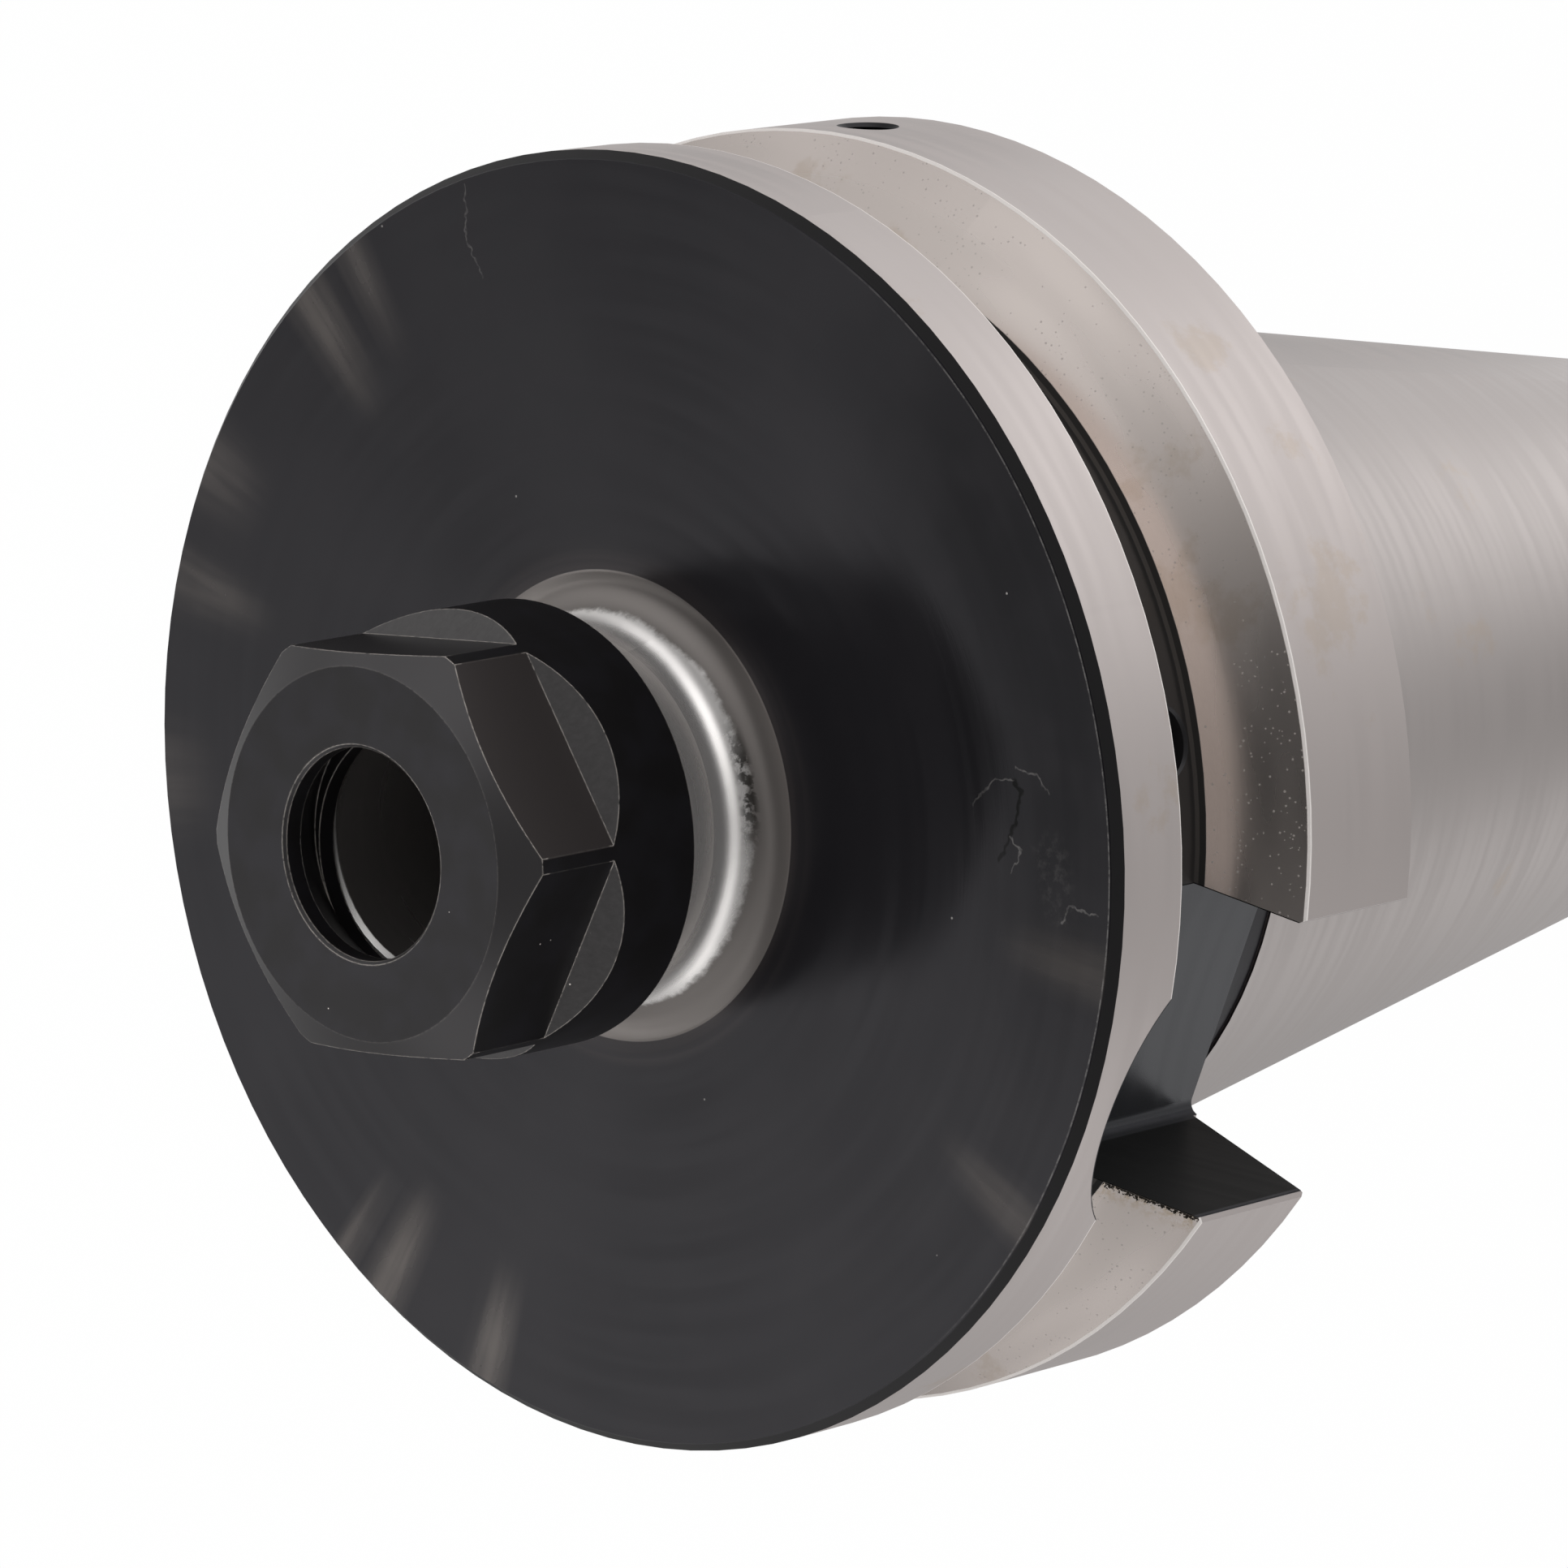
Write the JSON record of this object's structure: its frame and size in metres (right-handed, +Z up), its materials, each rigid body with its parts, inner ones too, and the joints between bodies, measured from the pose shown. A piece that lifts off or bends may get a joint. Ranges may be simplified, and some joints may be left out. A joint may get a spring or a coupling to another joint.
{
  "type": "collet chuck",
  "caption": "Collet chuck: steep taper shank, gripper flange with drive key slots, short collet nose and a hexagon clamping nut that turns on it.",
  "frame": {"origin": "centre of the small end face of the taper, which it stands on", "axes": "+Z up the tool axis to the nut; the drive key slots face -Y and +Y"},
  "size_m": [0.1, 0.1, 0.1672],
  "materials": {
    "ground_steel": "ground bright on taper, rims and neck, black oxide on the flange face, groove and key slots",
    "blackened_steel": "black oxide, worn bright along its edges"
  },
  "bodies": {
    "holder": {"holder_body": "ground_steel"},
    "nut": {"clamping_nut": "blackened_steel"}
  },
  "joints": [
    {"name": "nut_turn", "type": "hinge", "parent": "holder", "child": "nut", "pos_m": [0, 0, 0.158], "axis": [0, 0, 1], "range_deg": [0, 2250]}
  ]
}
